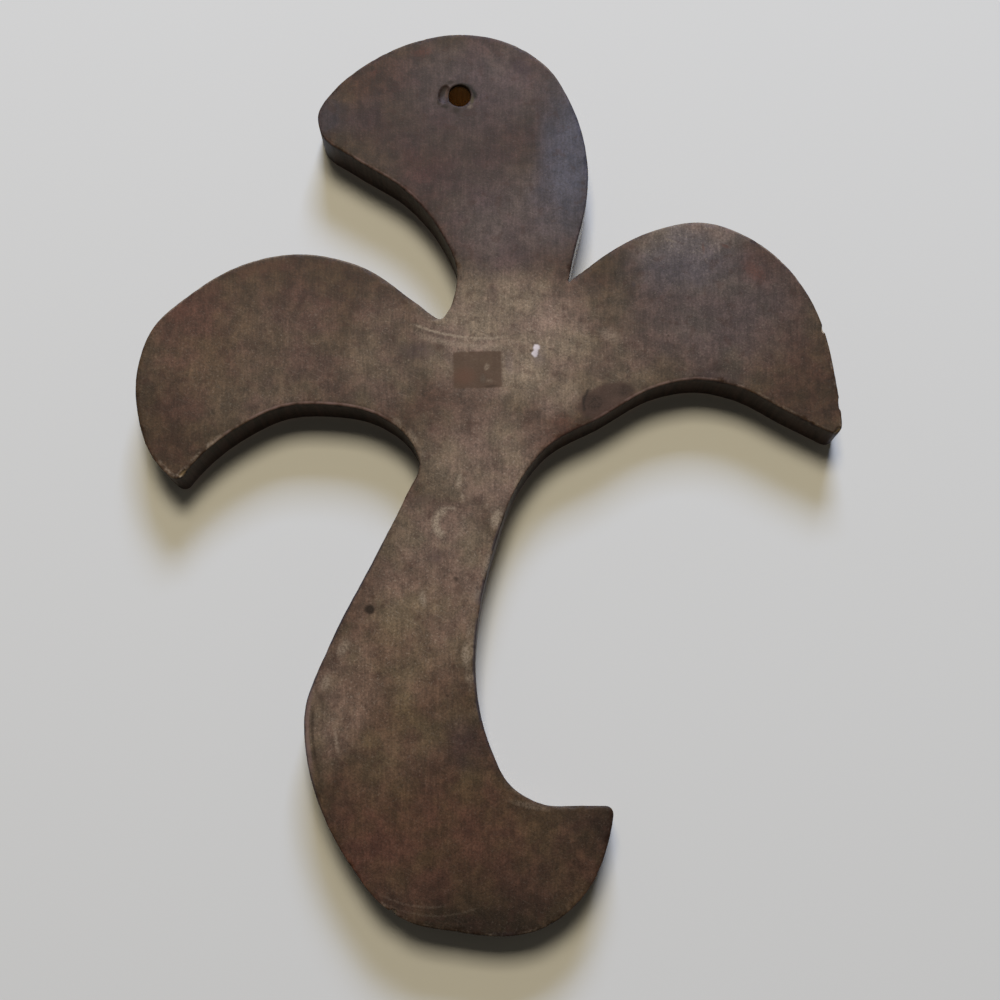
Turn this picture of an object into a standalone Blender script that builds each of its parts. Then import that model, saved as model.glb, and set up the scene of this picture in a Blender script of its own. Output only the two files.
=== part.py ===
"""A wall cross sawn from one board, with four curling lobes, hung from a hole in its top lobe.

Metres, +Z up. The show face looks along -Y and the back lies on the wall plane y = 0.
The origin is the middle of the hanging hole, on the wall plane.
"""
from math import cos, pi, radians, sin, tan

import bmesh
import bpy
from mathutils import Vector
from mathutils.geometry import interpolate_bezier

# The board
CROSS_HEIGHT = 0.295          # crown of the top lobe to the lowest point of the foot
BOARD_THICKNESS = 0.018
ARRIS_RADIUS = 0.0011         # the worn edge between each face and the sawn side
ARM_TIP_RADIUS = 0.0028       # worn round on the two arm tips
FOOT_TIP_RADIUS = 0.0026      # worn round on the tip of the foot's hook

# The hanging hole, drilled through the top lobe at the origin
HOLE_DIAMETER = 0.0072
HOLE_FLARE = 0.0005           # how far the nail has worn each mouth open

# The thumbnail dent beside the hole's mouth, on the show face
DENT_LENGTH = 0.0064
DENT_WIDTH = 0.0040
DENT_DEPTH = 0.0006
DENT_OVERLAP = 0.0006         # how far the dent runs into the hole

# Chips knocked out of the show face's rim
CHIP_LENGTH = 0.0052
CHIP_WIDTH = 0.0026
CHIP_DEPTH = 0.0016

# Fineness of the facets
RIM_STEP = 0.0040             # longest facet along the rim
ARRIS_FACETS = 2
CORNER_FACETS = 4
HOLE_SIDES = 28
SCOOP_RINGS = 8

# The rim, clockwise as the show face is seen, as knots in thousandths of CROSS_HEIGHT.
# Each number pair is right and up from the hanging hole. The curve is smooth along a run.
RIGHT_ARM_BACK = [
    (122, -219), (143, -203), (167, -185), (219, -159), (272, -150), (322, -167),
    (363, -200), (392, -244), (406, -284), (414, -328), (419, -372), (419, -398)]
RIGHT_SIDE = [
    (419, -398), (362, -369), (309, -341), (265, -332), (221, -339), (155, -375),
    (98, -407), (67, -446), (42, -511), (24, -588), (20, -652), (36, -730),
    (58, -771), (93, -790), (129, -791), (166, -791)]
LEFT_SIDE = [
    (166, -791), (156, -840), (143, -870), (116, -901), (85, -919), (49, -925),
    (-1, -920), (-49, -910), (-78, -892), (-110, -853), (-141, -798), (-157, -747),
    (-161, -694), (-137, -625), (-88, -526), (-55, -458), (-42, -426), (-52, -401),
    (-88, -372), (-145, -360), (-193, -363), (-234, -382), (-273, -411), (-304, -447)]
UPPER_LEFT = [
    (-304, -447), (-332, -419), (-350, -372), (-353, -321), (-337, -272), (-300, -236),
    (-237, -198), (-171, -187), (-107, -202), (-42, -247), (-20, -262), (-5, -235),
    (-2, -210), (-21, -161), (-57, -116), (-123, -72), (-154, -49), (-160, -22),
    (-145, 4), (-107, 38), (-57, 64), (0, 75), (57, 64), (104, 30),
    (124, -4), (140, -50), (145, -99), (140, -142), (132, -173), (122, -219)]

# Where the rim is chipped: right and up from the hole in thousandths of CROSS_HEIGHT,
# the way the chip's length runs in degrees from level, and its size against the chip above.
CHIPS = [
    ("right_arm", 404, -272, 72, 0.8),
    ("right_arm_notch", 421, -357, 86, 1.2),
    ("right_tip", 414, -392, 60, 0.9),
    ("right_tip_low", 392, -387, -27, 0.7),
    ("left_tip", -298, -437, 44, 0.8),
    ("foot", -69, -903, 32, 1.0)]

STAINED_WOOD = (0.092, 0.062, 0.046)   # linear colour of the stained board


def clear_scene():
    for item in list(bpy.data.objects):
        bpy.data.objects.remove(item)


def wood_material():
    material = bpy.data.materials.new("stained_wood")
    material.use_nodes = True
    shader = material.node_tree.nodes["Principled BSDF"]
    shader.inputs["Base Color"].default_value = (*STAINED_WOOD, 1.0)
    shader.inputs["Roughness"].default_value = 0.5
    shader.inputs["Metallic"].default_value = 0.0
    return material


def rim_point(right, up):
    """A point of the rim from its place in thousandths of the height"""
    return Vector((right, 0.0, up)) * (CROSS_HEIGHT / 1000.0)


def knot_tangents(knots):
    """The curve's direction at each knot, weighted towards the nearer neighbour"""
    spans = [after - before for before, after in zip(knots, knots[1:])]
    tangents = []
    for before, after in zip(spans, spans[1:]):
        blend = before.normalized() * after.length + after.normalized() * before.length
        tangents.append(blend / (before.length + after.length))
    first = 2.0 * spans[0].normalized() - tangents[0]
    last = 2.0 * spans[-1].normalized() - tangents[-1]
    return [first, *tangents, last]


def smooth_run(shares):
    """Points along one smooth run of the rim"""
    knots = [rim_point(*share) for share in shares]
    tangents = knot_tangents(knots)
    points = [knots[0]]
    for i in range(len(knots) - 1):
        start, end = knots[i], knots[i + 1]
        reach = (end - start).length / 3.0
        facets = max(2, round((end - start).length / RIM_STEP))
        stretch = interpolate_bezier(
            start, start + tangents[i] * reach, end - tangents[i + 1] * reach, end, facets + 1)
        points.extend(stretch[1:])
    return points


def cut_back(points, length):
    """The run without its last stretch of the given length"""
    points = list(points)
    while len(points) > 2 and (points[-1] - points[-2]).length <= length:
        length -= (points[-1] - points[-2]).length
        points.pop()
    back = points[-2] - points[-1]
    points[-1] = points[-1] + back.normalized() * min(length, 0.9 * back.length)
    return points


def round_corner(arriving, leaving, radius):
    """Two runs that meet at a corner, cut back and joined by an arc of the given radius"""
    corner = arriving[-1]
    inward = (arriving[-2] - corner).normalized()
    outward = (leaving[1] - corner).normalized()
    half_angle = inward.angle(outward) / 2.0
    setback = radius / tan(half_angle)
    arriving = cut_back(arriving, setback)
    leaving = cut_back(leaving[::-1], setback)[::-1]
    start, end = arriving[-1], leaving[0]
    pull = 4.0 / 3.0 * tan((pi - 2.0 * half_angle) / 4.0) * tan(half_angle)
    arc = interpolate_bezier(
        start, start.lerp(corner, pull), end.lerp(corner, pull), end, CORNER_FACETS + 1)
    return arriving + arc[1:-1], leaving


def rim_outline():
    """The closed rim, clockwise from the notch between the top lobe and the right arm"""
    right_arm = smooth_run(RIGHT_ARM_BACK)
    right_side = smooth_run(RIGHT_SIDE)
    left_side = smooth_run(LEFT_SIDE)
    upper_left = smooth_run(UPPER_LEFT)
    right_arm, right_side = round_corner(right_arm, right_side, ARM_TIP_RADIUS)
    right_side, left_side = round_corner(right_side, left_side, FOOT_TIP_RADIUS)
    left_side, upper_left = round_corner(left_side, upper_left, ARM_TIP_RADIUS)
    return right_arm + right_side + left_side + upper_left[:-1]


def add_object(name, mesh_builder):
    mesh = bpy.data.meshes.new(name)
    mesh_builder.to_mesh(mesh)
    mesh_builder.free()
    item = bpy.data.objects.new(name, mesh)
    bpy.context.collection.objects.link(item)
    return item


def board():
    """The board sawn to its outline, with both faces' rims marked for the worn arris"""
    builder = bmesh.new()
    wall_loop = [builder.verts.new(point) for point in rim_outline()]
    wall_face = builder.faces.new(wall_loop)
    raised = bmesh.ops.extrude_face_region(builder, geom=[wall_face], use_keep_orig=True)
    show_verts = [item for item in raised["geom"] if isinstance(item, bmesh.types.BMVert)]
    bmesh.ops.translate(builder, verts=show_verts, vec=(0.0, -BOARD_THICKNESS, 0.0))
    bmesh.ops.recalc_face_normals(builder, faces=builder.faces)
    weight = builder.edges.layers.float.new("bevel_weight_edge")
    for edge in builder.edges:
        level = abs(edge.verts[0].co.y - edge.verts[1].co.y) < BOARD_THICKNESS / 2.0
        edge[weight] = 1.0 if level else 0.0
    item = add_object("cross_board", builder)
    item.data.shade_smooth()
    item.data.set_sharp_from_angle(angle=radians(35.0))
    return item


def ease_arris(item):
    bevel = item.modifiers.new("worn arris", "BEVEL")
    bevel.limit_method = "WEIGHT"
    bevel.width = min(ARRIS_RADIUS, 0.4 * BOARD_THICKNESS)
    bevel.segments = ARRIS_FACETS


def as_cutter(item, target):
    """Cuts the item out of the target, and leaves the item as a wire guide"""
    item.hide_render = True
    item.display_type = "WIRE"
    cut = target.modifiers.new("cut " + item.name, "BOOLEAN")
    cut.operation = "DIFFERENCE"
    cut.solver = "EXACT"
    cut.object = item


def ring(builder, radius, y, sides):
    turns = [2.0 * pi * i / sides for i in range(sides)]
    return [builder.verts.new((radius * cos(turn), y, radius * sin(turn))) for turn in turns]


def hole_cutter():
    """The drilled hole, flared at both mouths"""
    bore = HOLE_DIAMETER / 2.0
    flare = min(HOLE_FLARE, 0.2 * BOARD_THICKNESS)
    run_past = 2.0 * flare
    profile = [
        (bore + flare + run_past, run_past),
        (bore, -flare),
        (bore, flare - BOARD_THICKNESS),
        (bore + flare + run_past, -BOARD_THICKNESS - run_past)]
    builder = bmesh.new()
    rings = [ring(builder, radius, y, HOLE_SIDES) for radius, y in profile]
    for near, far in zip(rings, rings[1:]):
        for i in range(HOLE_SIDES):
            j = (i + 1) % HOLE_SIDES
            builder.faces.new((near[i], near[j], far[j], far[i]))
    builder.faces.new(rings[0])
    builder.faces.new(rings[-1])
    bmesh.ops.recalc_face_normals(builder, faces=builder.faces)
    return add_object("hole_cutter", builder)


def scoop_cutter(name, place, length, width, depth, lean):
    """A flattened ball that scoops a shallow hollow, its long axis leaning from level"""
    builder = bmesh.new()
    bmesh.ops.create_uvsphere(builder, u_segments=2 * SCOOP_RINGS, v_segments=SCOOP_RINGS, radius=1.0)
    bmesh.ops.scale(builder, vec=(length / 2.0, depth, width / 2.0), verts=builder.verts)
    item = add_object(name, builder)
    item.location = place
    item.rotation_euler = (0.0, -lean, 0.0)
    return item


def dent_cutter():
    """The dent's middle lies left of the hole, so that its end opens into the bore"""
    left = HOLE_DIAMETER / 2.0 + DENT_WIDTH / 2.0 - DENT_OVERLAP
    place = (-left, -BOARD_THICKNESS, DENT_WIDTH / 8.0)
    return scoop_cutter("dent_cutter", place, DENT_LENGTH, DENT_WIDTH, DENT_DEPTH, radians(82.0))


def chip_cutters():
    """One scoop for each chip, centred on the show face's rim"""
    for name, right, up, lean, size in CHIPS:
        place = rim_point(right, up)
        place.y = -BOARD_THICKNESS
        length, width, depth = (size * value for value in (CHIP_LENGTH, CHIP_WIDTH, CHIP_DEPTH))
        yield scoop_cutter(name + "_chip", place, length, width, depth, radians(lean))


def build():
    clear_scene()
    cross = board()
    cross.data.materials.append(wood_material())
    ease_arris(cross)
    as_cutter(hole_cutter(), cross)
    as_cutter(dent_cutter(), cross)
    for chip in chip_cutters():
        as_cutter(chip, cross)


build()
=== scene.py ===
from math import cos, pi, radians, sin, sqrt

import bmesh
import bpy
import numpy as np
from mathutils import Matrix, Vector, kdtree, noise
from mathutils.geometry import delaunay_2d_cdt


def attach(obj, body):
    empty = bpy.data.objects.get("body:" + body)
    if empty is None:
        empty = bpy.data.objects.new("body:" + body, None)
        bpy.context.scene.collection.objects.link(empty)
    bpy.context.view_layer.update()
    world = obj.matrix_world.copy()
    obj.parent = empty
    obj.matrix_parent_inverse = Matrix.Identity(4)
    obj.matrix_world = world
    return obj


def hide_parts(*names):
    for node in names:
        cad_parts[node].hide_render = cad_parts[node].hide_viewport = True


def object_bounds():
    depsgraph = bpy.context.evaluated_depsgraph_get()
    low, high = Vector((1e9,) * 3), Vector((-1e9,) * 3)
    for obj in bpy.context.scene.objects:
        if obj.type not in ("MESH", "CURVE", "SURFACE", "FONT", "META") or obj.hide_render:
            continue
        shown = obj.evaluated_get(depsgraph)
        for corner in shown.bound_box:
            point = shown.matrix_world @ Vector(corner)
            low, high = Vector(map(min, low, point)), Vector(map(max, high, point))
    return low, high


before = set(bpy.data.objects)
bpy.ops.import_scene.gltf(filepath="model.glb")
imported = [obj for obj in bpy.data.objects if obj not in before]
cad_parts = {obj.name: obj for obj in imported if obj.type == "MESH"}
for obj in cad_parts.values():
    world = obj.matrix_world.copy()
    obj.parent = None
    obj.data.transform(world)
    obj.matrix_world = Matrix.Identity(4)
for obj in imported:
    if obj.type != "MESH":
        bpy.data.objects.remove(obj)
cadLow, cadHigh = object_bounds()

# Metres. The wall plane is y = 0, the show face looks along -Y, the hanging hole is the origin.
# Places on the board are given in millimetres right of and up from the hole.
millimetre = 0.001
showDepth = cadLow.y
backDepth = cadHigh.y


# Camera

cameraSetting = {
    "place": (0.01352, -0.55994, -0.24083),
    "tilt": 10.8,                # degrees above level
    "lens": 62.28,
    "sensorWidth": 36.0}


def addCamera(setting):
    data = bpy.data.cameras.new("wallCamera")
    data.lens = setting["lens"]
    data.sensor_width = setting["sensorWidth"]
    item = bpy.data.objects.new("wallCamera", data)
    item.location = setting["place"]
    item.rotation_euler = (radians(90.0 + setting["tilt"]), 0.0, 0.0)
    bpy.context.scene.collection.objects.link(item)
    bpy.context.scene.camera = item


addCamera(cameraSetting)
print("camera placed")


# Board shape

boardSetting = {
    "rimStep": 0.00065,          # spacing of points along the rim
    "fineRimStep": 0.00030,      # the same beside a chip
    "fineRimReach": 0.0035,      # how far from a chip the rim stays fine
    "rimStepGrowth": 0.15,       # how fast the spacing grows past that
    "curveStep": 0.00015,        # spacing along the rim's curve before it is evened out
    "straightTurn": 0.002,       # radians: a smaller turn is a point on a straight stretch
    "faceStep": 0.00105,         # spacing of points on the show face
    "fineFaceStep": 0.00038,     # the same beside a chip, the dent and the hole
    "coarseFaceStart": 0.0052,   # the wide spacing starts this far from them
    "fineFaceEnd": 0.0050,       # and the fine one ends here
    "backStep": 0.0021,
    "jitter": 0.16,              # how far points stray from an even grid, as a share of the spacing
    "rimGap": 0.62,              # how near the rim they may lie, as a share of the spacing
    "showArris": 0.00065,        # worn edge round the show face
    "backArris": 0.00075,
    "arrisSway": 0.35,           # how unevenly the edge is worn
    "swaySize": 0.021,
    "fineSwaySize": 0.006,
    "slotWear": 0.45,            # how much of the wear reaches into the saw's slot
    "slotReach": 0.008,
    "backWear": 0.4,             # the back's edge keeps at least this share of its wear
    "arrisRows": 3,
    "wallRows": 9,
    "flareRows": 2,
    "boreRows": 18,
    "sawKerf": 0.0009,           # width of the saw's slot at the end of the notch
    "slotPoints": 9,             # points round the slot's end
    "notchReach": 0.004,         # how far from the notch's tip the lie of its walls is read
    "holeSides": 72,
    "holeFlare": 0.0005,
    "handSeed": 11}

# Scoops out of the show face: right, up, degrees from level, length, width, depth, way out of the wood,
# and how bare the wood is in it
boardScoops = {
    "dent": (-5.0, 0.5, 82.0, 6.4, 4.0, 0.6, 0.0, 0.0),
    "rightArmChip": (119.2, -80.2, 72.0, 4.2, 2.1, 1.3, 1.0, 0.8),
    "rightArmNotch": (124.2, -105.3, 86.0, 6.2, 3.1, 1.9, 1.0, 0.35),
    "rightTipChip": (122.1, -115.6, 60.0, 4.7, 2.3, 1.4, 1.0, 0.5),
    "rightTipLowChip": (115.6, -114.2, -27.0, 2.8, 1.4, 0.8, 1.0, 0.8),
    "leftTipChip": (-87.9, -128.9, 44.0, 3.4, 1.5, 0.9, 1.0, 0.8),
    "footChip": (-20.4, -266.4, 32.0, 5.2, 2.6, 1.6, 1.0, 0.3)}


def sectionLoops(node, depth):
    cutter = bmesh.new()                     # a copy of the node's mesh
    cutter.from_mesh(node.data)
    bmesh.ops.remove_doubles(cutter, verts=cutter.verts, dist=1e-6)
    everything = [*cutter.verts, *cutter.edges, *cutter.faces]
    cut = bmesh.ops.bisect_plane(
        cutter, geom=everything, dist=1e-7, plane_co=(0.0, depth, 0.0), plane_no=(0.0, 1.0, 0.0))
    beside = {}
    for item in cut["geom_cut"]:
        if isinstance(item, bmesh.types.BMEdge):
            first, second = item.verts
            beside.setdefault(first, []).append(second)
            beside.setdefault(second, []).append(first)
    loops = []
    while beside:
        here = next(iter(beside))
        loop = []
        while here in beside:
            loop.append((here.co.x, here.co.z))
            ahead = [vert for vert in beside.pop(here) if vert in beside]
            here = ahead[0] if ahead else here
        loops.append(np.array(loop))
    cutter.free()
    return sorted(loops, key=len)            # the hole, then the rim


def unit(vectors):
    return vectors / np.linalg.norm(vectors, axis=-1, keepdims=True)


def turnAt(loop):
    arriving = unit(loop - np.roll(loop, 1, axis=0))
    leaving = unit(np.roll(loop, -1, axis=0) - loop)
    cross = arriving[:, 0] * leaving[:, 1] - arriving[:, 1] * leaving[:, 0]
    return np.arctan2(cross, (arriving * leaving).sum(axis=1))


def fromNotch(loop, straightTurn):
    loop = loop[np.abs(turnAt(loop)) > straightTurn]
    if turnAt(loop).sum() > 0.0:
        loop = loop[::-1]                    # clockwise as the show face is seen
    return np.roll(loop, -int(np.argmax(turnAt(loop))), axis=0)


def smoothRun(knots, step):
    spans = np.diff(knots, axis=0)
    lengths = np.linalg.norm(spans, axis=1)[:, None]
    ways = spans / lengths
    middle = (ways[:-1] * lengths[1:] + ways[1:] * lengths[:-1]) / (lengths[:-1] + lengths[1:])
    tangents = np.vstack([2.0 * ways[0] - middle[0], middle, 2.0 * ways[-1] - middle[-1]])
    run = [knots[:1]]
    for i, length in enumerate(lengths[:, 0]):
        share = np.linspace(0.0, 1.0, max(2, int(length / step)))[1:, None]
        rest = 1.0 - share
        startPull = tangents[i] * length * share * rest ** 2
        endPull = tangents[i + 1] * length * share ** 2 * rest
        blend = share ** 2 * (3.0 - 2.0 * share)
        run.append(knots[i] * (1.0 - blend) + knots[i + 1] * blend + startPull - endPull)
    return np.vstack(run)


def travelAlong(run):
    return np.concatenate([[0.0], np.cumsum(np.linalg.norm(np.diff(run, axis=0), axis=1))])


def pointsAt(run, travel, wanted):
    return np.column_stack([np.interp(wanted, travel, run[:, axis]) for axis in (0, 1)])


def scoopPlaces():
    return np.array([scoop[:2] for scoop in boardScoops.values()]) * millimetre


def evenOut(run, setting):
    travel = travelAlong(run)
    gaps = np.linalg.norm(run[:, None, :] - scoopPlaces()[None, 1:, :], axis=2).min(axis=1)
    step = setting["fineRimStep"] + (gaps - setting["fineRimReach"]) * setting["rimStepGrowth"]
    step = np.clip(step, setting["fineRimStep"], setting["rimStep"])
    count = np.concatenate([[0.0], np.cumsum(np.diff(travel) / step[1:])])
    wanted = np.linspace(0.0, count[-1], int(count[-1]) + 1)
    return pointsAt(run, travel, np.interp(wanted, count, travel))


def cutKerf(run, setting):
    # the notch ends in a slot as wide as the saw blade, with a round end at the notch's own tip
    tip = run[0]
    travel = travelAlong(run)
    reach = setting["notchReach"]
    leaving = unit(pointsAt(run, travel, [reach])[0] - tip)
    arriving = unit(pointsAt(run, travel, [travel[-1] - reach])[0] - tip)
    opening = unit(leaving + arriving)
    halfAngle = np.arccos(leaving @ arriving) / 2.0
    radius = setting["sawKerf"] / 2.0
    setback = radius / sin(halfAngle)
    keep = (travel > setback) & (travel < travel[-1] - setback)
    centre = tip + opening * radius
    side = np.array([opening[1], -opening[0]])
    side = side * np.sign(side @ arriving)   # points to the wall that arrives at the notch
    angles = np.linspace(0.0, pi, setting["slotPoints"])
    roundEnd = [centre + radius * (cos(angle) * side - sin(angle) * opening) for angle in angles]
    straight = [centre + radius * side + opening * (setback * cos(halfAngle) - radius) * 0.5]
    otherStraight = [point - 2.0 * radius * side for point in straight]
    return run[keep], np.array(straight + roundEnd + otherStraight)


def inwardOf(loop):
    ahead = unit(np.roll(loop, -1, axis=0) - np.roll(loop, 1, axis=0))
    return np.column_stack([ahead[:, 1], -ahead[:, 0]])


def wornArris(loop, setting, slotPoints):
    radii = []
    for right, up in loop:
        place = Vector((right, up, 0.0))
        sway = noise.noise(place / setting["swaySize"]) + 0.5 * noise.noise(place / setting["fineSwaySize"])
        radii.append(setting["showArris"] * (1.0 + setting["arrisSway"] * sway))
    toSlot = np.linalg.norm(loop - slotPoints.mean(axis=0), axis=1)
    least = setting["slotWear"]
    return np.array(radii) * np.clip(least + toSlot / setting["slotReach"], least, 1.0)


def ringRows(loop, inward, showRadius, backRadius, arrisRows, wallRows):
    # rows of points from the edge of the show face, over the wall, to the edge of the back
    rows, wallShares = [], []
    turns = np.linspace(pi / 2.0, 0.0, arrisRows + 1)
    for turn in turns:
        setIn = (showRadius * (1.0 - cos(turn)))[:, None]
        rows.append((loop + inward * setIn, showDepth + showRadius * (1.0 - sin(turn))))
        wallShares.append(1.0 - turn / (pi / 2.0))
    start, end = showDepth + showRadius, backDepth - backRadius
    for i in range(1, wallRows):
        rows.append((loop, start + (end - start) * i / wallRows))
        wallShares.append(1.0)
    for turn in turns[::-1]:
        setIn = (backRadius * (1.0 - cos(turn)))[:, None]
        rows.append((loop + inward * setIn, backDepth - backRadius * (1.0 - sin(turn))))
        wallShares.append(1.0 - turn / (pi / 2.0))
    ones = np.ones(len(loop))
    points = [np.column_stack([flat[:, 0], depth * ones, flat[:, 1]]) for flat, depth in rows]
    return np.stack(points), np.array(wallShares)


def insideOf(loop, right, up):
    nextPoint = np.roll(loop, -1, axis=0)
    crossed = (loop[:, 1] <= up) != (nextPoint[:, 1] <= up)
    near, far = loop[crossed], nextPoint[crossed]
    along = (up - near[:, 1]) * (far[:, 0] - near[:, 0]) / (far[:, 1] - near[:, 1])
    meets = np.sort(near[:, 0] + along)
    return np.searchsorted(meets, right) % 2 == 1


def treeOf(points):
    tree = kdtree.KDTree(len(points))
    for i, (right, up) in enumerate(points):
        tree.insert((right, up, 0.0), i)
    tree.balance()
    return tree


def scatter(loops, step, draw, setting, zones, zoneReach, keepFine):
    # a jittered triangular grid inside the first loop and outside the rest
    low, high = loops[0].min(axis=0), loops[0].max(axis=0)
    tree = treeOf(np.vstack(loops))
    found = []
    for row, up in enumerate(np.arange(low[1], high[1], step * sqrt(3.0) / 2.0)):
        right = np.arange(low[0] + (row % 2) * step / 2.0, high[0], step)
        jitter = draw.uniform(-setting["jitter"], setting["jitter"], (len(right), 2)) * step
        inside = insideOf(loops[0], right, up)
        for other in loops[1:]:
            inside &= ~insideOf(other, right, up)
        points = np.column_stack([right, np.full(len(right), up)])
        toZone = np.linalg.norm(points[:, None, :] - zones[None], axis=2).min(axis=1)
        inside &= (toZone < zoneReach) == keepFine
        for point in (points + jitter)[inside]:
            if tree.find((*point, 0.0))[2] > setting["rimGap"] * step:
                found.append(point)
    return np.array(found).reshape(-1, 2)


def fillFace(loops, inner):
    # triangles over the face, numbered through the loops and then the inner points
    points = [Vector(point) / millimetre for point in np.vstack([*loops, inner])]
    edges, start = [], 0
    for loop in loops:
        count = len(loop)
        edges.extend((start + i, start + (i + 1) % count) for i in range(count))
        start += count
    made = delaunay_2d_cdt(points, edges, [], 2, 1e-6)
    origin = [sources[0] for sources in made[3]]
    rimCount, holeEnd = len(loops[0]), len(loops[0]) + len(loops[1])
    faces = [tuple(origin[corner] for corner in face) for face in made[2]]
    # a face between points of the hole alone would close the hole
    return [face for face in faces if not rimCount <= min(face) <= max(face) < holeEnd]


def carveScoops(points, share, ways):
    # moves the points inside each scoop out to its rounded floor
    for right, up, lean, length, width, depth, sideways, bare in boardScoops.values():
        centre = np.array([right, showDepth / millimetre, up]) * millimetre
        along = np.array([cos(radians(lean)), 0.0, sin(radians(lean))])
        across = np.array([-along[2], 0.0, along[0]])
        frameAxes = np.array([along / length * 2.0, [0.0, 1.0 / depth, 0.0], across / width * 2.0])
        frameAxes = frameAxes / millimetre
        local = (points - centre) @ frameAxes.T
        inside = (local ** 2).sum(axis=1) < 1.0
        nearest = ways[0].find((right * millimetre, up * millimetre, 0.0))[1]
        inward = ways[1][nearest]
        path = unit(np.array([inward[0] * sideways, 1.0, inward[1] * sideways]))
        localPath = frameAxes @ path
        # the way along the path to the scoop's floor solves a quadratic
        a = localPath @ localPath
        b = local[inside] @ localPath
        c = (local[inside] ** 2).sum(axis=1) - 1.0
        reach = (np.sqrt(b * b - a * c) - b) / a
        points[inside] += reach[:, None] * path
        bared = bare * np.clip(reach / (0.5 * depth * millimetre), 0.0, 1.0)
        share[inside] = np.maximum(share[inside], bared)


def joinRows(start, rows, count):
    quads = []
    for row in range(rows - 1):
        for i in range(count):
            j = (i + 1) % count
            here, below = start + row * count, start + (row + 1) * count
            quads.append((here + i, here + j, below + j, below + i))
    return quads


def buildBoard(node, setting):
    draw = np.random.default_rng(setting["handSeed"])
    holeLoop, rimLoop = sectionLoops(node, (showDepth + backDepth) / 2.0)[:2]
    knots = fromNotch(rimLoop, setting["straightTurn"])
    run = smoothRun(np.vstack([knots, knots[:1]]), setting["curveStep"])
    run, slot = cutKerf(run, setting)
    rim = np.vstack([evenOut(run, setting), slot])
    inward = inwardOf(rim)
    showRadius = wornArris(rim, setting, slot)
    backRadius = setting["backArris"] * np.clip(showRadius / setting["showArris"], setting["backWear"], 1.0)

    holeRadius = np.linalg.norm(holeLoop, axis=1).max()
    turns = np.linspace(0.0, 2.0 * pi, setting["holeSides"], endpoint=False)
    hole = holeRadius * np.column_stack([np.cos(turns), np.sin(turns)])
    flare = np.full(len(hole), setting["holeFlare"])
    rimRows, rimWall = ringRows(
        rim, inward, showRadius, backRadius, setting["arrisRows"], setting["wallRows"])
    holeRows, holeWall = ringRows(
        hole, unit(hole), flare, flare, setting["flareRows"], setting["boreRows"])

    # both faces are filled between the edge rows
    ends = (0, -1)
    loops = [(rimRows[end][:, (0, 2)], holeRows[end][:, (0, 2)]) for end in ends]
    zones = np.vstack([scoopPlaces(), [[0.0, 0.0]]])
    coarse = scatter(
        loops[0], setting["faceStep"], draw, setting, zones, setting["coarseFaceStart"], False)
    fine = scatter(
        loops[0], setting["fineFaceStep"], draw, setting, zones, setting["fineFaceEnd"], True)
    back = scatter(loops[1], setting["backStep"], draw, setting, zones, 0.0, False)
    inner = [np.vstack([coarse, fine]), back]

    points = [rimRows.reshape(-1, 3), holeRows.reshape(-1, 3)]
    wall = [np.repeat(rimWall, len(rim)), np.repeat(holeWall, len(hole))]
    bore = [np.zeros(rimRows.size // 3), np.ones(holeRows.size // 3)]
    holeStart = len(points[0])
    innerStart = holeStart + len(points[1])
    faces = joinRows(0, len(rimRows), len(rim)) + joinRows(holeStart, len(holeRows), len(hole))
    for end, depth in zip(ends, (showDepth, backDepth)):
        flat = inner[end]
        rimEdge = np.arange(len(rim)) + (len(rimRows) - 1) * len(rim) * (end == -1)
        holeEdge = holeStart + np.arange(len(hole)) + (len(holeRows) - 1) * len(hole) * (end == -1)
        numbers = np.concatenate([rimEdge, holeEdge, innerStart + np.arange(len(flat))])
        faces.extend(tuple(int(numbers[corner]) for corner in face) for face in fillFace(loops[end], flat))
        points.append(np.column_stack([flat[:, 0], np.full(len(flat), depth), flat[:, 1]]))
        wall.append(np.zeros(len(flat)))
        bore.append(np.zeros(len(flat)))
        innerStart += len(flat)

    points, wall, bore = np.vstack(points), np.concatenate(wall), np.concatenate(bore)
    rimTree = treeOf(rim)
    toRim = np.array([rimTree.find((right, up, 0.0))[2] for right, up in points[:, (0, 2)]]) / millimetre
    scooped = np.zeros(len(points))
    carveScoops(points, scooped, (rimTree, inward))

    mesh = bpy.data.meshes.new("woodenBoard")
    mesh.from_pydata(points.tolist(), [], faces)
    layers = {"wallShare": wall, "boreShare": bore, "rimDistance": toRim, "scoopShare": scooped}
    for name, values in layers.items():
        layer = mesh.attributes.new(name, "FLOAT", "POINT")
        layer.data.foreach_set("value", values.astype(np.float32))
    tidy = bmesh.new()
    tidy.from_mesh(mesh)
    bmesh.ops.recalc_face_normals(tidy, faces=tidy.faces)
    tidy.to_mesh(mesh)
    tidy.free()
    mesh.shade_smooth()
    item = bpy.data.objects.new("woodenBoard", mesh)
    bpy.context.scene.collection.objects.link(item)
    return item


board = buildBoard(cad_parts["cross_board"], boardSetting)
print("board meshed:", len(board.data.vertices), "points")


# Relief: sanding sway and grain on the faces, saw marks on the wall, nicks on the worn edge

reliefSetting = {
    "Sway Depth": 0.00016,
    "Sway Size": 0.028,
    "Grain Depth": 0.00002,
    "Grain Width": 0.0028,
    "Grain Length": 0.040,
    "Saw Depth": 0.00022,
    "Saw Width": 0.0022,
    "Saw Length": 0.050,
    "Nick Depth": 0.00040,
    "Nick Size": 0.0032,
    "Nick Start": 0.52,          # the noise's value where a nick starts, and where it is deepest
    "Nick Floor": 0.72}
reliefSeed = 5


def wire(tree, value, socket):
    if isinstance(value, bpy.types.NodeSocket):
        tree.links.new(value, socket)
    else:
        socket.default_value = value


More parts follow.
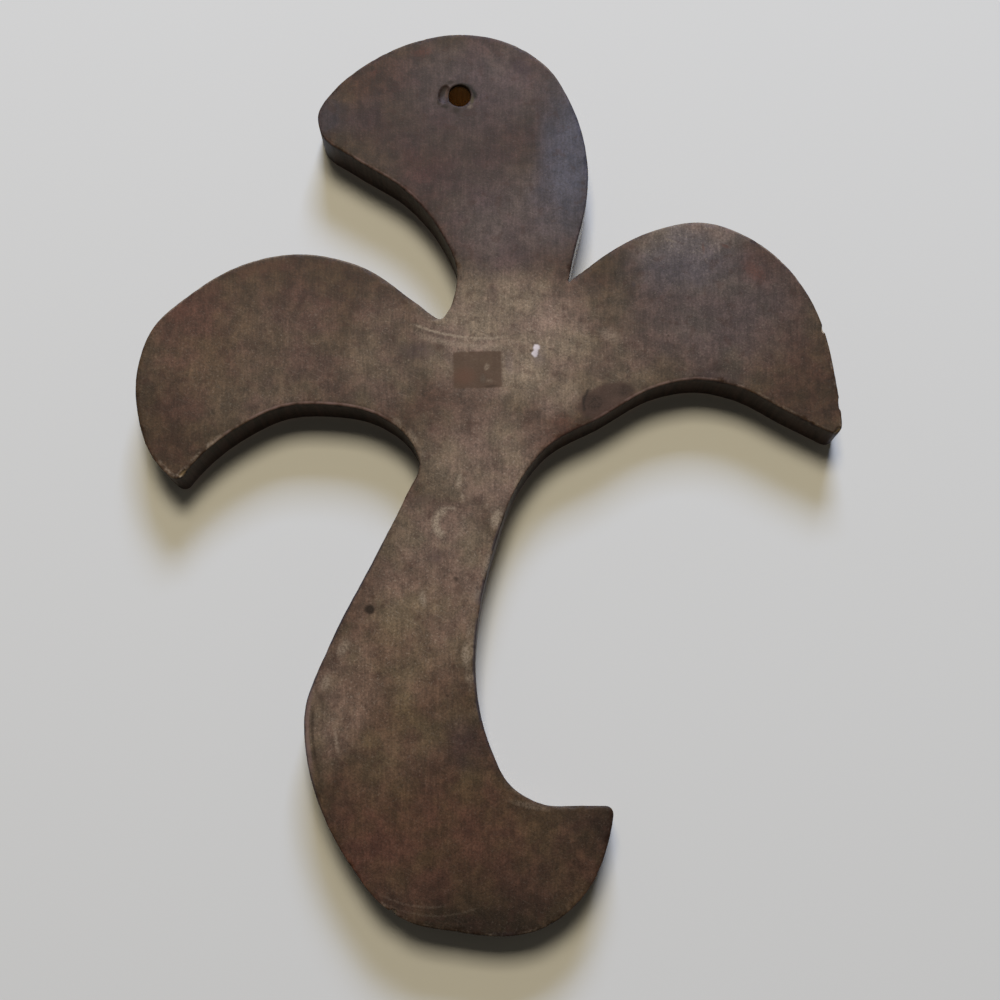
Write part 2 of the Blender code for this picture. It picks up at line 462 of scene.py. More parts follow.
def addNode(tree, kind, inputs=None, **settings):
    node = tree.nodes.new(kind)
    for name, value in settings.items():
        setattr(node, name, value)
    for name, value in (inputs or {}).items():
        wire(tree, value, node.inputs[name])
    return node


def maths(tree, operation, first, second=0.0, third=0.0):
    return addNode(tree, "ShaderNodeMath", {0: first, 1: second, 2: third}, operation=operation).outputs[0]


def product(tree, first, *others):
    for other in others:
        first = maths(tree, "MULTIPLY", first, other)
    return first


def vectorMaths(tree, operation, first, second=(0.0, 0.0, 0.0), output="Vector"):
    node = addNode(tree, "ShaderNodeVectorMath", {0: first, 1: second}, operation=operation)
    return node.outputs[output]


def scaled(tree, vector, scale):
    return addNode(tree, "ShaderNodeVectorMath", {0: vector, "Scale": scale}, operation="SCALE").outputs[0]


def spread(tree, value, fromLow, fromHigh, toLow=0.0, toHigh=1.0, kind="SMOOTHSTEP"):
    inputs = {"Value": value, "From Min": fromLow, "From Max": fromHigh, "To Min": toLow, "To Max": toHigh}
    return addNode(tree, "ShaderNodeMapRange", inputs, interpolation_type=kind).outputs["Result"]


def combine(tree, right, depth, up):
    return addNode(tree, "ShaderNodeCombineXYZ", {0: right, 1: depth, 2: up}).outputs[0]


def newGroup(name, kind, inputs, outputs):
    # inputs and outputs are name: (socket type, default)
    tree = bpy.data.node_groups.new(name, kind)
    for way, sockets in (("INPUT", inputs), ("OUTPUT", outputs)):
        for label, (socketType, value) in sockets.items():
            socket = tree.interface.new_socket(
                name=label, in_out=way, socket_type="NodeSocket" + socketType)
            if value is not None:
                socket.default_value = value
    return tree, tree.nodes.new("NodeGroupInput").outputs, tree.nodes.new("NodeGroupOutput").inputs


def reliefTree(setting, seed):
    inputs = {"Geometry": ("Geometry", None)}
    inputs.update({name: ("Float", value) for name, value in setting.items()})
    inputs.update({"Seed": ("Int", seed), "Material": ("Material", None)})
    outputs = {"Geometry": ("Geometry", None)}
    tree, given, result = newGroup("boardRelief", "GeometryNodeTree", inputs, outputs)
    place = tree.nodes.new("GeometryNodeInputPosition").outputs[0]
    normal = tree.nodes.new("GeometryNodeInputNormal").outputs[0]
    named = addNode(tree, "GeometryNodeInputNamedAttribute", {"Name": "wallShare"}, data_type="FLOAT")
    wallShare = named.outputs["Attribute"]
    faceShare = maths(tree, "SUBTRACT", 1.0, wallShare)
    edgeShare = product(tree, wallShare, faceShare, 4.0)

    def rough(across, through, along, detail=1.0):
        size = combine(tree, given[across], given[through], given[along])
        inputs = {"Vector": vectorMaths(tree, "DIVIDE", place, size), "W": given["Seed"],
                  "Scale": 1.0, "Detail": detail, "Roughness": 0.55}
        return addNode(tree, "ShaderNodeTexNoise", inputs, noise_dimensions="4D").outputs[0]

    sway = rough("Sway Size", "Sway Size", "Sway Size")
    grain = rough("Grain Width", "Grain Width", "Grain Length")
    saw = rough("Saw Width", "Saw Length", "Saw Width")
    nick = rough("Nick Size", "Nick Size", "Nick Size", 2.0)
    nick = spread(tree, nick, given["Nick Start"], given["Nick Floor"])
    depth = product(tree, sway, given["Sway Depth"], faceShare)
    forms = (
        (grain, "Grain Depth", faceShare),
        (saw, "Saw Depth", wallShare),
        (nick, "Nick Depth", edgeShare))
    for form, name, share in forms:
        depth = maths(tree, "ADD", depth, product(tree, form, given[name], share))
    inwards = scaled(tree, normal, maths(tree, "MULTIPLY", depth, -1.0))
    moved = addNode(tree, "GeometryNodeSetPosition", {"Geometry": given["Geometry"], "Offset": inwards})
    real = addNode(tree, "GeometryNodeRealizeInstances", {"Geometry": moved.outputs[0]})
    painted = addNode(
        tree, "GeometryNodeSetMaterial", {"Geometry": real.outputs[0], "Material": given["Material"]})
    wire(tree, painted.outputs[0], result["Geometry"])
    return tree


def applyRelief(item, tree, material):
    modifier = item.modifiers.new("boardRelief", "NODES")
    modifier.node_group = tree
    for socket in tree.interface.items_tree:
        if socket.in_out == "INPUT" and socket.name == "Material":
            modifier[socket.identifier] = material
        elif socket.in_out == "INPUT" and socket.name != "Geometry":
            modifier[socket.identifier] = socket.default_value
    depsgraph = bpy.context.evaluated_depsgraph_get()
    finished = bpy.data.meshes.new_from_object(
        item.evaluated_get(depsgraph), preserve_all_data_layers=True, depsgraph=depsgraph)
    item.modifiers.remove(modifier)
    item.data = finished


# Shader groups

def mixColour(tree, share, first, second):
    inputs = {0: share, 6: first, 7: second}
    return addNode(tree, "ShaderNodeMix", inputs, data_type="RGBA").outputs[2]


def mixValue(tree, share, first, second):
    inputs = {0: share, 2: first, 3: second}
    return addNode(tree, "ShaderNodeMix", inputs, data_type="FLOAT").outputs[0]


def channels(tree, colour):
    return addNode(tree, "ShaderNodeSeparateColor", {0: colour}).outputs


def noiseAt(tree, vector, detail=2.0, roughness=0.5, output=0):
    inputs = {"Vector": vector, "Scale": 1.0, "Detail": detail, "Roughness": roughness}
    return addNode(tree, "ShaderNodeTexNoise", inputs).outputs[output]


def screen(red, green, blue):
    # a colour as it looks on the screen, 0 to 255, as the linear colour that a socket wants
    def linear(value):
        value = value / 255.0
        return value / 12.92 if value <= 0.04045 else ((value + 0.055) / 1.055) ** 2.4
    return (linear(red), linear(green), linear(blue), 1.0)


markInputs = {
    "Position": ("Vector", (0.0, 0.0, 0.0)),
    "Centre": ("Vector", (0.0, 0.0, 0.0)),
    "Along": ("Vector", (1.0, 0.0, 0.0)),      # a unit way over the half width
    "Across": ("Vector", (0.0, 0.0, 1.0)),     # and over the half height
    "Core": ("Float", 0.5)}                    # the share of the mark that has its full strength

arcInputs = {
    "Position": ("Vector", (0.0, 0.0, 0.0)),
    "Centre": ("Vector", (0.0, 0.0, 0.0)),
    "Middle Way": ("Vector", (1.0, 0.0, 0.0)),
    "Radius": ("Float", 5.0),
    "Half Width": ("Float", 0.5),
    "Reach": ("Float", 0.5)}                   # cosine of half the arc's angle

figureInputs = {
    "Position": ("Vector", (0.0, 0.0, 0.0)),
    "Fibre Width": ("Float", 0.7),
    "Fibre Length": ("Float", 8.0),
    "Cloud Size": ("Float", 14.0),
    "Mottle Size": ("Float", 4.2),
    "Speck Size": ("Float", 0.70),
    "Speck Turn": ("Vector", (0.5, 0.6, 0.4)),
    "Scratch Width": ("Float", 0.45),
    "Scratch Length": ("Float", 7.0)}

# The part of each noise that is stretched to a mask from 0 to 1
figureRanges = {
    "Fibre": (0.30, 0.70),
    "Cloud": (0.32, 0.68),
    "Mottle": (0.32, 0.68),
    "Stain Spot": (0.56, 0.68),
    "Hue": (0.38, 0.62),
    "Light Speck": (0.57, 0.70),
    "Dark Speck": (0.65, 0.75),
    "Scratch": (0.60, 0.78),
    "Speck": (0.28, 0.72)}
scratchLean = ((0.89, 0.0, -0.45), (0.45, 0.0, 0.89))   # along and across the last rubbing
panelCorner = 0.15                                      # how rounded a panel's corners are


def softMarkGroup(name, isPanel):
    tree, given, result = newGroup(name, "ShaderNodeTree", markInputs, {"Mask": ("Float", 0.0)})
    offset = vectorMaths(tree, "SUBTRACT", given["Position"], given["Centre"])
    along, across = [vectorMaths(tree, "DOT_PRODUCT", offset, given[way], "Value")
                     for way in ("Along", "Across")]
    if isPanel:
        sides = [maths(tree, "ABSOLUTE", part) for part in (along, across)]
        radius = maths(tree, "SMOOTH_MAX", *sides, panelCorner)
    else:
        radius = vectorMaths(tree, "LENGTH", combine(tree, along, 0.0, across), output="Value")
    wire(tree, spread(tree, radius, 1.0, given["Core"]), result["Mask"])
    return tree


def softArcGroup():
    tree, given, result = newGroup("softArc", "ShaderNodeTree", arcInputs, {"Mask": ("Float", 0.0)})
    offset = vectorMaths(tree, "SUBTRACT", given["Position"], given["Centre"])
    flat = vectorMaths(tree, "MULTIPLY", offset, (1.0, 0.0, 1.0))
    radius = vectorMaths(tree, "LENGTH", flat, output="Value")
    away = maths(tree, "ABSOLUTE", maths(tree, "SUBTRACT", radius, given["Radius"]))
    band = spread(tree, maths(tree, "DIVIDE", away, given["Half Width"]), 1.0, 0.0)
    way = vectorMaths(tree, "NORMALIZE", flat)
    ahead = vectorMaths(tree, "DOT_PRODUCT", way, given["Middle Way"], "Value")
    along = spread(tree, ahead, given["Reach"], mixValue(tree, 0.5, given["Reach"], 1.0))
    wire(tree, maths(tree, "MULTIPLY", band, along), result["Mask"])
    return tree


def woodFigureGroup():
    outputs = {name: ("Float", 0.0) for name in figureRanges}
    tree, given, result = newGroup("woodFigure", "ShaderNodeTree", figureInputs, outputs)
    place = given["Position"]

    def figure(width, length, roughness, output):
        size = combine(tree, given[width], given[width], given[length])
        return noiseAt(tree, vectorMaths(tree, "DIVIDE", place, size), 2.0, roughness, output)

    clouds = channels(tree, figure("Cloud Size", "Cloud Size", 0.5, 1))
    mottles = channels(tree, figure("Mottle Size", "Mottle Size", 0.6, 1))
    turned = addNode(tree, "ShaderNodeVectorRotate", {"Vector": place, "Rotation": given["Speck Turn"]},
                     rotation_type="EULER_XYZ").outputs[0]
    speckSize = combine(tree, *[given["Speck Size"]] * 3)
    speckNoise = addNode(tree, "ShaderNodeTexNoise", {
        "Vector": vectorMaths(tree, "DIVIDE", turned, speckSize), "Scale": 1.0, "Detail": 2.0,
        "Roughness": 0.80}).outputs
    specks = channels(tree, speckNoise["Color"])
    slant = [vectorMaths(tree, "DOT_PRODUCT", place, way, "Value") for way in scratchLean]
    scratchPlace = combine(
        tree, maths(tree, "DIVIDE", slant[0], given["Scratch Length"]), 0.0,
        maths(tree, "DIVIDE", slant[1], given["Scratch Width"]))
    noises = {
        "Fibre": figure("Fibre Width", "Fibre Length", 0.6, 0),
        "Cloud": clouds[0],
        "Mottle": mottles[0],
        "Stain Spot": mottles[2],
        "Hue": mixValue(tree, 0.20, clouds[1], mottles[1]),
        "Light Speck": specks[2],
        "Dark Speck": specks[1],
        "Scratch": noiseAt(tree, scratchPlace, 1.0, 0.5)}
    for name, value in noises.items():
        wire(tree, spread(tree, value, *figureRanges[name]), result[name])
    speck = spread(tree, speckNoise["Fac"], *figureRanges["Speck"], kind="LINEAR")
    wire(tree, speck, result["Speck"])
    return tree


def edgeBandGroup():
    tree, given, result = newGroup("edgeBand", "ShaderNodeTree", {
        "Rim Distance": ("Float", 0.0),
        "Patches": ("Float", 0.5),
        "Middle": ("Float", 1.0),
        "Half Width": ("Float", 1.0),
        "Patch Share": ("Float", 0.5)}, {"Mask": ("Float", 0.0)})
    away = maths(tree, "ABSOLUTE", maths(tree, "SUBTRACT", given["Rim Distance"], given["Middle"]))
    band = spread(tree, maths(tree, "DIVIDE", away, given["Half Width"]), 1.0, 0.3)
    # the noise's value where the patches start, for none of them and for all
    start = mixValue(tree, given["Patch Share"], 0.60, 0.20)
    share = spread(tree, given["Patches"], start, maths(tree, "ADD", start, 0.26))
    wire(tree, maths(tree, "MULTIPLY", band, share), result["Mask"])
    return tree


groups = {
    "softSpot": softMarkGroup("softSpot", False),
    "softPanel": softMarkGroup("softPanel", True),
    "softArc": softArcGroup(),
    "woodFigure": woodFigureGroup(),
    "edgeBand": edgeBandGroup()}


def useGroup(tree, name, inputs):
    node = tree.nodes.new("ShaderNodeGroup")
    node.node_tree = groups[name]
    node.label = name
    for label, value in inputs.items():
        wire(tree, value, node.inputs[label])
    return node.outputs


# Stained wood

stainSetting = {
    "darkStain": screen(56, 41, 30),
    "warmStain": screen(66, 48, 35),
    "dust": screen(132, 113, 98),
    "lightSpeck": screen(170, 155, 138),
    "poreDark": screen(40, 29, 24),
    "spotStain": screen(56, 34, 27),
    "wallStain": screen(56, 41, 36),
    "wallDark": screen(32, 23, 20),
    "rawBore": screen(148, 118, 78),
    # painted shade: the bore darkens towards the show face's mouth
    "boreMouthShade": screen(24, 17, 11),
    "mouthShadeFade": 2.4,             # how far into the hole the painted shade fades out
    "rawChip": screen(168, 148, 122),
    "cloudContrast": 0.06,       # lightness of the large, middle and small patches
    "mottleContrast": 0.17,
    "speckContrast": 0.38,
    "fibreContrast": 0.13,
    "spotShare": 0.34,           # how far the sparse spots darken the stain
    "hueSwing": 0.012,
    "wideFray": (9.0, 5.5),      # size and reach of the unevenness of soft areas
    "fineFray": (1.6, 0.5),      # and of marks
    "dustCore": 0.25,            # the share of an area that has its full strength
    "tintCore": 0.2,
    "rimCore": 0.5,
    "dustClouds": 0.10,          # how unevenly the dust lies
    "backDust": 0.10,
    "poreShare": 0.45,
    "scratchShare": 0.6,
    "specksInDust": 0.46,        # light specks, in full dust and anywhere
    "specksAnywhere": 0.06,
    "breakUp": (0.15, 0.80, 0.30),   # speck values that break up a mark, and the least that stays
    "rimPatchSize": 5.0,
    "sawStreak": (1.1, 20.0, 1.1),
    "sawRange": (0.3, 0.7),
    "wallRange": (0.55, 0.98),   # the wall share over which the face's stain gives way to the wall's
    "boreRange": (0.1, 0.7),
    "chipShare": 0.8,
    "showFaceDepth": 3.0,        # how deep the show face's marks reach
    "mouthShadeFull": 0.5,           # the painted shade in the hole is full to this depth
    "roughness": 0.47,
    "dustRoughness": 0.10,
    "speckRoughness": 0.10,
    "bumpStrength": 0.35,
    "bumpHeight": 0.00008,
    "specular": 0.13}

# The shades of tints and marks, in the order in which they are laid over each other
shades = {
    "label": screen(75, 56, 43),
    "labelRed": screen(92, 64, 50),
    "fleck": screen(222, 212, 216),
    "mauve": screen(92, 80, 82),
    # the blue shade is painted sheen: the bluish window light's reflection, laid on as a colour
    "blue": screen(72, 76, 91),
    # a violet shade, partly painted sheen of cool light
    "duskSheen": screen(70, 64, 70),
    "purple": screen(60, 46, 48),
    "umber": screen(78, 54, 44),
    "grey": screen(96, 90, 80),
    "olive": screen(70, 62, 42),
    "ochre": screen(98, 75, 51),
    "orange": screen(104, 70, 42),
    "red": screen(88, 52, 42),
    "chestnut": screen(84, 57, 41),
    "brown": screen(62, 42, 31),
    "blotch": screen(60, 41, 35),
    "slate": screen(44, 42, 50),
    "pink": screen(140, 114, 108),
    "pale": screen(150, 134, 116),
    "deep": screen(34, 23, 16),
    "nearBlack": screen(20, 13, 9)}

# Soft areas where dust has paled the stain: right, up, half width, half height, lean, amount
dustAreas = {
    "middle": (16, -84, 44, 32, 0, 0.76),
    "waist": (8, -124, 32, 34, 0, 0.46),
    "stem": (-8, -166, 32, 52, -16, 0.47),
    "stemLow": (-18, -206, 30, 34, 0, 0.12),
    "stemLeft": (-34, -198, 18, 34, -20, 0.44),
    "rightNear": (50, -92, 22, 20, 0, 0.34),
    "besideBlotch": (33, -103, 14, 12, 20, 0.50),
    "rightTop": (76, -50, 28, 14, 8, 0.56),
    "rightArm": (80, -78, 50, 36, 6, 0.16),
    "leftNear": (-24, -90, 26, 28, 0, 0.30),
    "leftArm": (-62, -92, 54, 34, 0, 0.22),
    "lobe": (14, -44, 30, 34, 0, 0.10)}

# Soft areas of another tint, in the same order of sizes, with the shade before the amount. A few are painted
# sheen, marked below.
tintAreas = {
    # the top lobe's purple tone: partly the stain's own, partly painted sheen of the bluish window light
    "lobeVioletAndSheen": (-2, -16, 44, 44, 0, "purple", 0.60),
    "lobeMauve": (8, 4, 36, 22, 0, "mauve", 0.50),
    "lobeMauveLow": (14, -44, 26, 26, 0, "mauve", 0.50),
    # the right arm's violet cast: partly the stain's own, partly painted sheen of cool light from the right
    "armDuskAndSheen": (84, -72, 42, 32, 0, "duskSheen", 0.44),
    "leftUmber": (-54, -76, 52, 36, 0, "umber", 0.32),
    "waistUmber": (-10, -112, 26, 14, 0, "umber", 0.22),
    # painted sheen: the bluish window light's reflection along the top lobe's right edge
    "lobeRightSheen": (38, -22, 20, 42, -6, "blue", 0.64),
    # painted sheen: a dark bluish reflection on the top lobe's left tip
    "lobeTipLeftSheen": (-43, -8, 9, 9, 0, "slate", 0.55),
    "lobeAmber": (-36, 0, 8, 9, 0, "orange", 0.20),
    "lobeRed": (-12, -24, 12, 9, 0, "red", 0.20),
    "lobeLeftViolet": (-33, -7, 18, 14, 0, "purple", 0.58),
    "lobeLowViolet": (13, -54, 24, 15, 0, "purple", 0.32),
    # painted sheen: the bluish window light's reflection on the right arm's top
    "armSheen": (74, -56, 26, 16, 10, "blue", 0.40),
    "armTipRight": (108, -92, 18, 24, 0, "brown", 0.30),
    "armHollow": (84, -98, 14, 8, -8, "purple", 0.55),
    "armRed": (98, -58, 12, 12, -40, "red", 0.12),
    "armTipLeft": (-94, -112, 16, 22, 0, "brown", 0.40),
    "leftRimRed": (-90, -70, 10, 16, 35, "red", 0.16),
    "waistBrown": (34, -116, 12, 8, 30, "red", 0.20),
    "stemOlive": (-22, -184, 9, 10, 0, "olive", 0.22),
    "stemOchre": (-18, -192, 32, 52, -14, "ochre", 0.38),
    "stemGrey": (-20, -196, 16, 10, 0, "grey", 0.10),
    "hookNeck": (2, -214, 8, 12, 0, "purple", 0.38),
    "hookOlive": (7, -223, 7, 6, 0, "olive", 0.30),
    "footRed": (-28, -246, 16, 18, 10, "red", 0.24),
    "footOrange": (38, -252, 10, 14, 0, "orange", 0.08),
    "footWarm": (-4, -240, 46, 28, 0, "chestnut", 0.50),
    "leftArmWarm": (-84, -88, 22, 30, 0, "chestnut", 0.42),
    "footRight": (34, -256, 16, 12, 0, "deep", 0.22),
    "footBottom": (6, -272, 42, 15, 0, "deep", 0.92),
    "footMiddle": (4, -256, 24, 15, 0, "brown", 0.58),
    "hookTip": (46, -240, 11, 13, 0, "deep", 0.84)}

# Marks on the show face: kind, right, up, half width, half height, lean, core, shade, strength.
# A speckled mark is a soft spot broken up by the wood's fine specks.
faceMarks = {
    "labelGhost": ("softPanel", 6.3, -94.5, 8.3, 6.5, 1, 0.88, "label", 0.82),
    "labelCorner": ("softSpot", 1.8, -96.6, 5.6, 4.4, 0, 0.2, "labelRed", 0.60),
    "labelFootLine": ("softSpot", 10.6, -100.0, 3.2, 0.7, 4, 0.3, "deep", 0.40),
    "labelSmudge": ("speckled", 9.2, -93.6, 1.1, 1.6, -25, 0.2, "pale", 0.60),
    "labelSmudgeLow": ("speckled", 10.2, -98.2, 1.7, 1.2, 0, 0.1, "pale", 0.34),
    "labelSmear": ("speckled", 8.0, -97.6, 1.3, 2.6, 0, 0.1, "grey", 0.40),
    "labelHalo": ("softSpot", 16.6, -93.0, 2.0, 6.0, 0, 0.2, "mauve", 0.26),
    "fleckHalo": ("softSpot", 26.0, -90.0, 3.4, 5.4, 0, 0.1, "mauve", 0.40),
    "fleck": ("softSpot", 25.3, -87.1, 1.35, 1.55, -14, 0.45, "fleck", 0.92),
    "fleckLow": ("softSpot", 24.8, -89.1, 1.35, 1.45, 18, 0.45, "fleck", 0.92),
    "fleckMiddle": ("softSpot", 25.2, -88.1, 0.9, 1.3, 0, 0.4, "fleck", 0.92),
    "fleckHollow": ("softSpot", 23.7, -88.2, 0.8, 0.8, 0, 0.3, "brown", 0.75),
    "smudgeLeft": ("speckled", -6.2, -86.8, 2.8, 2.4, -20, 0.1, "brown", 0.75),
    "smudgeFar": ("speckled", -13.0, -88.4, 9.0, 4.2, 0, 0.2, "purple", 0.62),
    "dash": ("softSpot", -17.8, -71.7, 2.3, 0.7, -27, 0.2, "brown", 0.75),
    "blotch": ("softSpot", 48.0, -104.6, 11.2, 6.0, 20, 0.74, "blotch", 0.74),
    "blotchDark": ("speckled", 44.0, -105.4, 4.6, 4.0, 20, 0.3, "nearBlack", 0.66),
    "blotchFar": ("speckled", 53.6, -101.4, 6.0, 2.8, 14, 0.3, "nearBlack", 0.50),
    "waistRed": ("speckled", 33.5, -110.5, 4.0, 3.0, 0, 0.1, "red", 0.35),
    "waistDark": ("speckled", 21.3, -118.5, 3.2, 2.4, 0, 0.1, "brown", 0.40),
    "scribbles": ("speckled", 49.0, -82.8, 5.5, 3.4, -20, 0.1, "pale", 0.40),
    "rightDot": ("softSpot", 36.1, -84.4, 0.5, 0.5, 0, 0.3, "deep", 0.65),
    "armDot": ("softSpot", 68.1, -83.0, 0.5, 0.5, 0, 0.3, "deep", 0.60),
    "armDotLow": ("softSpot", 68.4, -94.6, 0.5, 0.6, 0, 0.3, "deep", 0.50),
    "notchDash": ("softSpot", 51.2, -62.0, 0.45, 1.5, 18, 0.3, "deep", 0.60),
    "notchSpot": ("softSpot", 57.2, -65.6, 1.1, 1.3, 0, 0.2, "slate", 0.45),
    "armArcDark": ("speckled", 87.4, -52.6, 2.6, 0.8, -22, 0.2, "red", 0.70),
    "armCornerDark": ("speckled", 80.2, -53.3, 0.7, 2.6, 0, 0.2, "red", 0.60),
    "armSpeckle": ("speckled", 97.0, -61.5, 7.0, 3.4, -42, 0.1, "red", 0.60),
    "armLight": ("speckled", 69.3, -50.6, 2.6, 0.7, -20, 0.2, "pale", 0.35),
    "hatching": ("speckled", 83.8, -94.0, 4.0, 2.2, -15, 0.2, "deep", 0.60),
    "lobeBlotch": ("speckled", 20.4, 10.2, 5.4, 3.6, -38, 0.3, "purple", 1.0),
    "lobeBlotchTail": ("speckled", 17.6, 12.6, 2.2, 1.8, 0, 0.3, "deep", 0.55),
    "lobeSpeckle": ("speckled", -12.5, 15.5, 5.2, 2.4, 12, 0.2, "red", 0.60),
    "lobeSpeckleLeft": ("speckled", -28.8, 8.2, 2.2, 1.5, 30, 0.2, "red", 0.50),
    "dentRim": ("softSpot", -5.7, 1.5, 1.3, 4.8, -32, 0.3, "deep", 0.92),
    "dentTop": ("softSpot", -3.0, 4.7, 2.4, 1.0, 8, 0.2, "deep", 0.82),
    "dentFoot": ("softSpot", -5.0, -3.9, 2.0, 1.0, -4, 0.2, "deep", 0.86),
    "dentCorner": ("softSpot", -6.9, -2.2, 1.0, 2.1, 8, 0.2, "deep", 0.90),
    "dentWorn": ("speckled", -4.3, 0.6, 0.9, 2.6, -10, 0.2, "orange", 0.34),
    "holeSmear": ("softSpot", -1.2, -5.2, 2.1, 1.9, -20, 0.2, "deep", 0.82),
    "holeRight": ("softSpot", 4.4, -1.2, 0.9, 2.8, -14, 0.2, "olive", 0.90),
    "holeLow": ("speckled", 3.6, -3.9, 1.5, 1.0, 30, 0.2, "pale", 0.34),
    "scuffStroke": ("speckled", 0.4, -131.4, 1.3, 3.6, -6, 0.2, "pale", 0.70),
    "scuffStrokeLow": ("speckled", 1.6, -136.6, 1.0, 2.2, 20, 0.2, "pale", 0.55),
    "darkDot": ("softSpot", -27.5, -172.6, 2.3, 2.2, 0, 0.45, "deep", 0.96),
    "darkDotUpper": ("softSpot", -26.6, -168.5, 1.2, 1.0, 0, 0.2, "brown", 0.60),
    "smallDot": ("softSpot", -2.9, -199.6, 0.7, 0.7, 0, 0.3, "deep", 0.55),
    "stemSmudge": ("softSpot", -0.4, -162.9, 1.5, 1.2, 0, 0.2, "deep", 0.60),
    "stemSmudgeLow": ("speckled", 0.3, -166.8, 2.2, 3.0, 0, 0.1, "brown", 0.60),
    "stemStroke": ("speckled", -10.8, -169.0, 1.6, 3.8, 8, 0.2, "pale", 0.62),
    "stemDark": ("speckled", -7.0, -156.0, 3.4, 4.4, 0, 0.1, "purple", 0.55),
    "stemDarkTop": ("speckled", -10.5, -137.6, 4.0, 3.4, 0, 0.1, "purple", 0.50),
    "stemSlate": ("speckled", 6.5, -168.4, 1.6, 4.0, 0, 0.2, "slate", 0.60),
    "waistSpecks": ("speckled", 9.6, -158.0, 2.0, 5.6, -12, 0.2, "pale", 0.50),
    "leftPatch": ("speckled", -35.6, -184.6, 2.4, 4.6, -28, 0.2, "pale", 0.50),
    "leftPatchLow": ("speckled", -41.0, -195.4, 2.4, 4.0, -20, 0.2, "pale", 0.46),
    "leftStreak": ("speckled", -37.3, -213.6, 1.1, 6.4, 10, 0.2, "pale", 0.36),
    "leftSpots": ("speckled", -42.6, -200.6, 2.0, 2.6, 0, 0.2, "deep", 0.60),
    "rightPatch": ("speckled", 3.0, -186.8, 2.2, 5.2, 0, 0.3, "pale", 0.60),
    "rightStreak": ("speckled", 8.4, -161.8, 1.0, 2.4, 20, 0.2, "pale", 0.60),
    "waistPatch": ("speckled", 12.4, -143.6, 2.4, 4.4, -18, 0.3, "pale", 0.80),
    "waistPatchTop": ("speckled", 19.6, -131.6, 2.0, 3.8, -30, 0.3, "pale", 0.60),
    "hookSpecks": ("speckled", 22.6, -233.4, 9.0, 1.4, -12, 0.3, "pale", 0.22),
    "footDark": ("speckled", 14.0, -272.4, 8.0, 1.6, 0, 0.2, "slate", 0.35)}

# Curved scuffs: kind, centre right and up, radius, way to the arc's middle in degrees, half its angle,
# half width, shade, strength
faceArcs = {
    "longScuff": ("speckled", 8.7, -24.4, 59.6, -99.0, 15.5, 0.75, "pale", 0.84),
    "longScuffLow": ("speckled", 8.9, -25.4, 61.4, -98.0, 14.0, 1.60, "pale", 0.42),
    # painted shade: a dark arc round the top and right of the hole's mouth, where the bore's upper side lies
    # in shadow
    "holeRing": ("softArc", 0.9, -0.5, 4.2, 62.0, 84.0, 1.40, "nearBlack", 1.0),
    "holeRingLeft": ("softArc", 0.2, 0.0, 4.2, 165.0, 60.0, 0.80, "deep", 0.50),
    "ringScuff": ("speckled", -2.7, -144.9, 4.3, 176.0, 84.0, 2.10, "pale", 1.0),
    "ringScuffTop": ("speckled", -2.7, -144.9, 5.0, 116.0, 60.0, 0.90, "pale", 0.62),
    "ringScuffEnd": ("speckled", -2.7, -144.9, 4.9, -20.0, 60.0, 1.0, "pale", 0.30),
    "blotchEdge": ("softArc", 48.9, -106.2, 8.4, 168.0, 30.0, 0.90, "nearBlack", 0.74),
    "sandingArc": ("speckled", -8.0, -232.0, 32.0, -100.0, 20.0, 0.60, "pale", 0.10),
    "sandingArcLow": ("speckled", -6.0, -232.0, 34.6, -92.0, 26.0, 0.60, "pale", 0.08),
    "sandingArcFoot": ("speckled", 0.0, -230.0, 39.0, -88.0, 14.0, 0.60, "brown", 0.30)}

